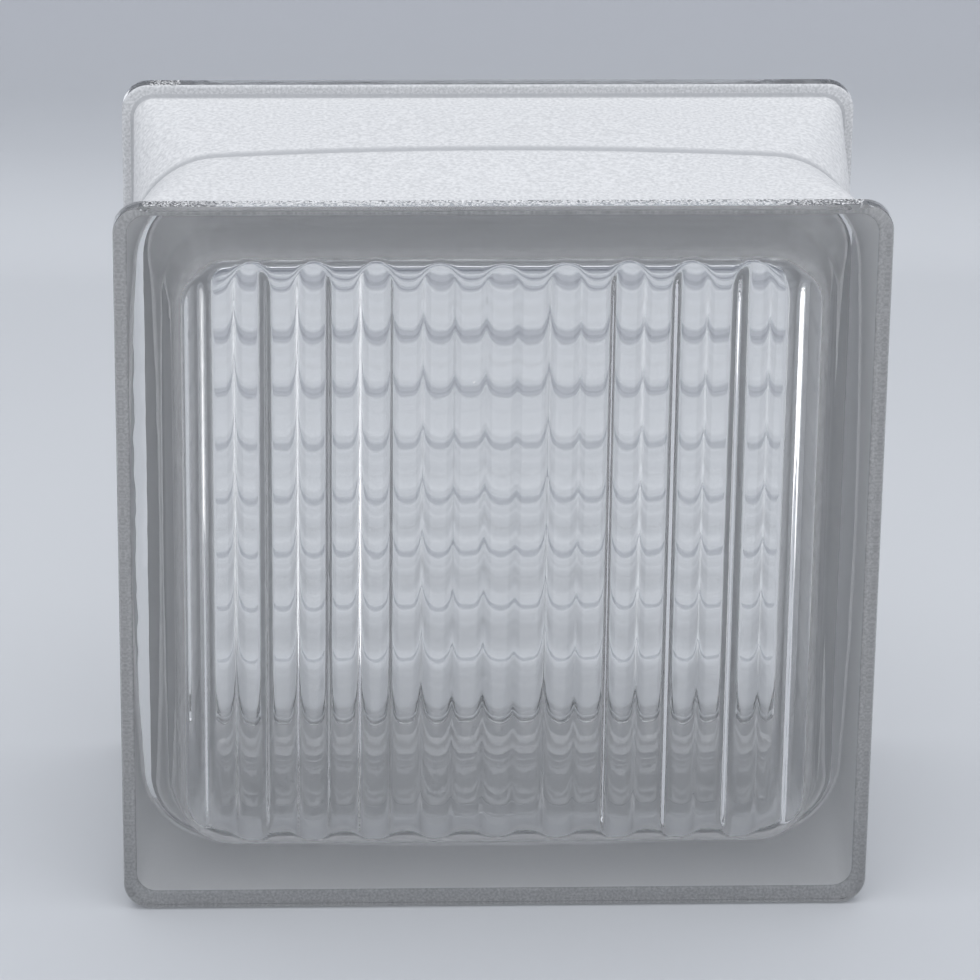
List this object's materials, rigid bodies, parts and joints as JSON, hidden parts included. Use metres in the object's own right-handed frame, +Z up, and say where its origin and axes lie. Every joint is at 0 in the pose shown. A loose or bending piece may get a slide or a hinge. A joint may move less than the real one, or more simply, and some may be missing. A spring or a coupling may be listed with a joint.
{
  "type": "glass block",
  "caption": "Hollow square glass block of two fused pressed halves, with crossed ribs inside and a white-coated mortar channel round its edge.",
  "frame": {"origin": "under the middle of the block, on the level of the two lips that it stands on", "axes": "+Z up, -Y out of the front face, whose inner ribs stand upright, X along the width"},
  "size_m": [0.19, 0.1, 0.19],
  "materials": {
    "clear_glass": "clear pressed glass",
    "white_coating": "matte sprayed coat"
  },
  "bodies": {
    "root": {"front_half": "clear_glass", "back_half": "clear_glass", "edge_coating": "white_coating"}
  },
  "joints": []
}
